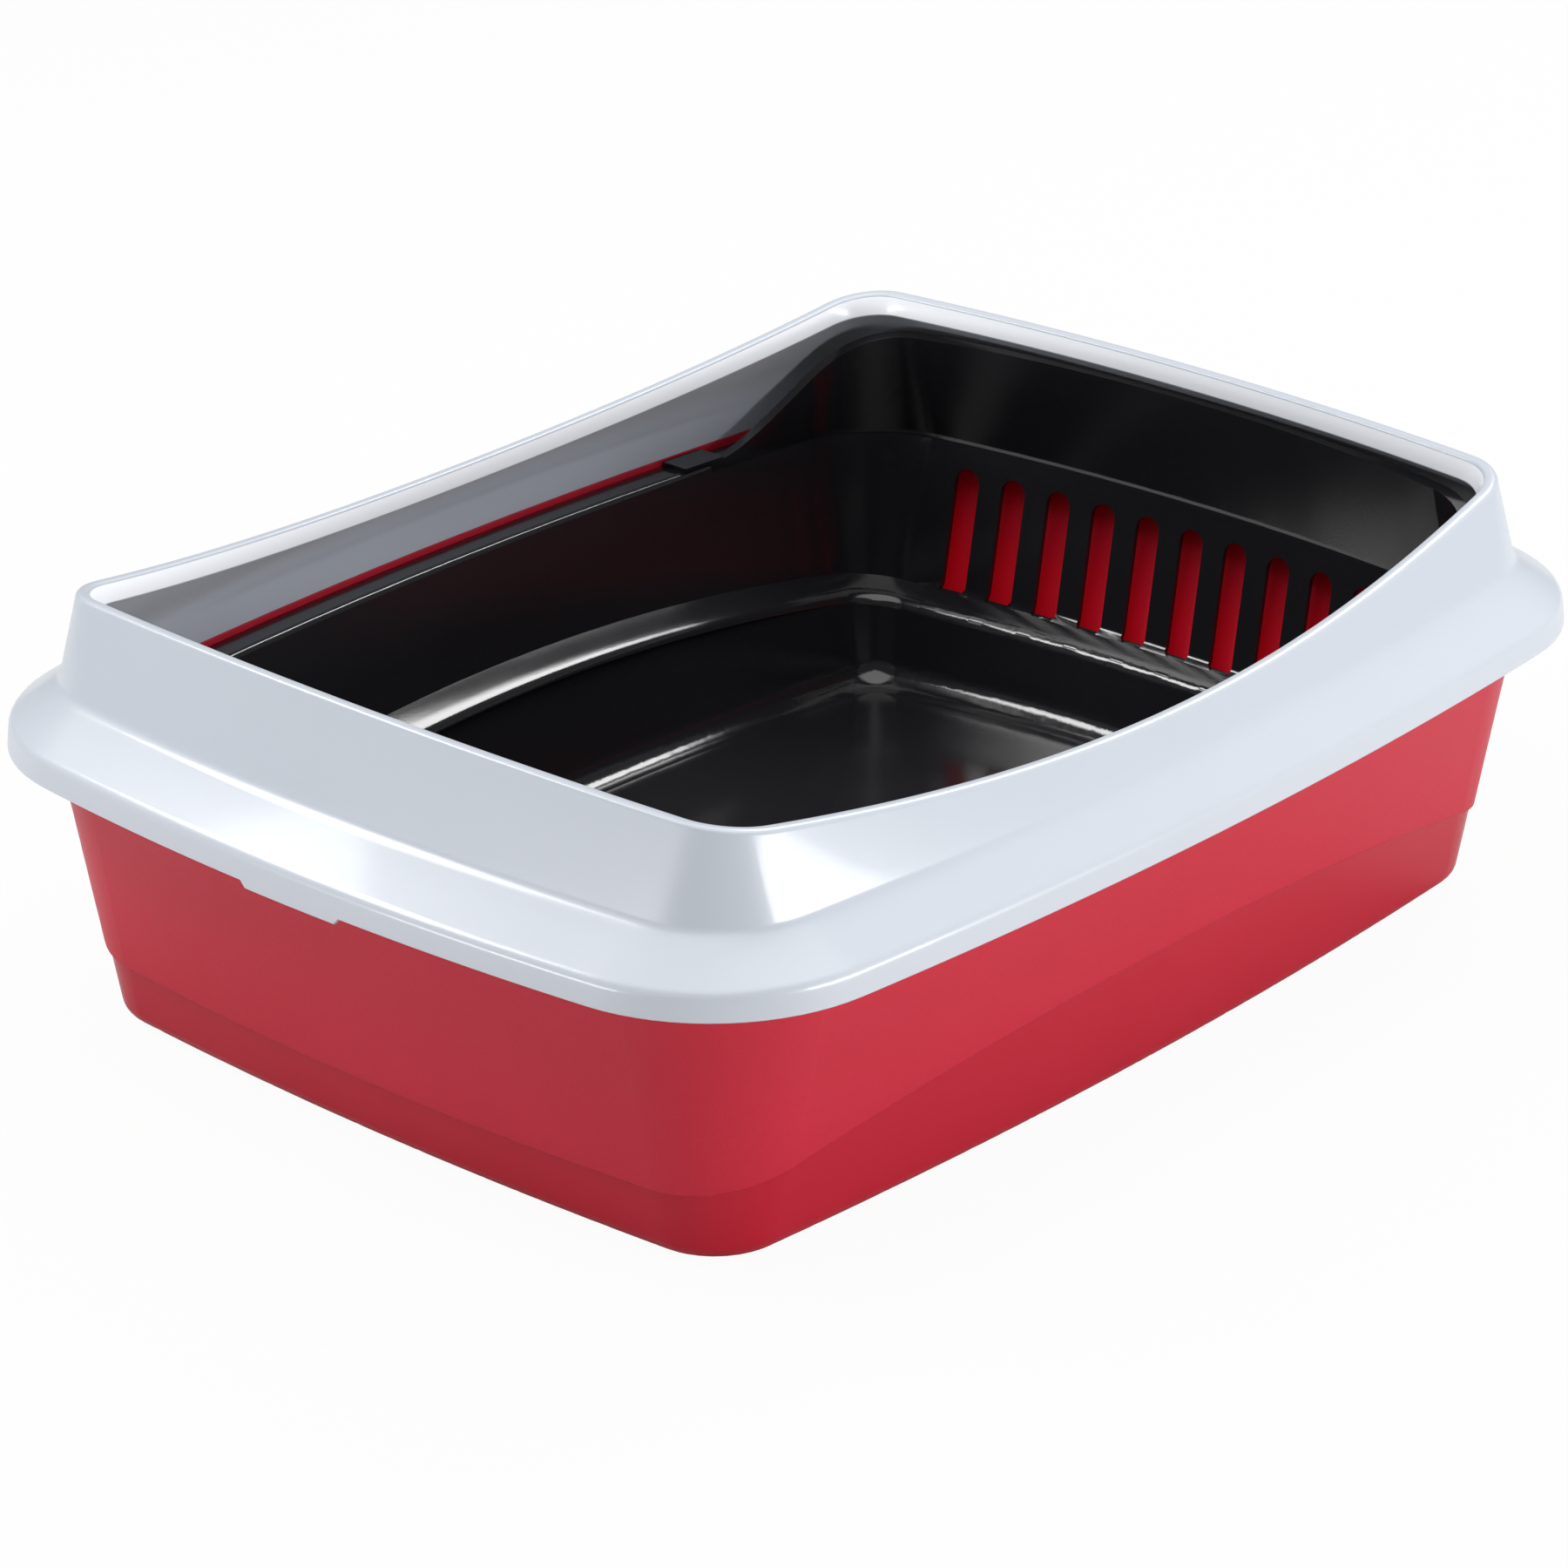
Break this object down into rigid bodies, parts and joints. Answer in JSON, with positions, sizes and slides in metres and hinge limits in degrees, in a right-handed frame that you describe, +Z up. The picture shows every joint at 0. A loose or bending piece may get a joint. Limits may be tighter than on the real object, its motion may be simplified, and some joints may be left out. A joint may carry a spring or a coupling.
{
  "type": "cat litter box",
  "caption": "Open rectangular cat litter tray with a sifting basin hung inside it, drain slots in the basin's raised back wall, and a leaning frosted frame over the rim.",
  "frame": {"origin": "middle of the underside, on the floor", "axes": "+Z up, +Y along the long side towards the raised slotted back wall, +X to the right seen from the front"},
  "size_m": [0.4352, 0.56, 0.179],
  "materials": {
    "red_tray": "red polypropylene, fine satin grain above the step and polished below it",
    "black_sieve": "black polypropylene with a soft gloss",
    "frosted_frame": "frosted, slightly see-through polypropylene with a smooth surface"
  },
  "bodies": {
    "tray_body": {"outer_tray": "red_tray"},
    "sieve_body": {"sieve_tray": "black_sieve"},
    "frame_body": {"rim_frame": "frosted_frame"}
  },
  "joints": [
    {"name": "sieve_lift", "type": "slide", "parent": "tray_body", "child": "sieve_body", "axis": [0, 0, 1], "range_m": [0, 0.16]},
    {"name": "frame_lift", "type": "slide", "parent": "sieve_body", "child": "frame_body", "axis": [0, 0, 1], "range_m": [0, 0.1]}
  ]
}
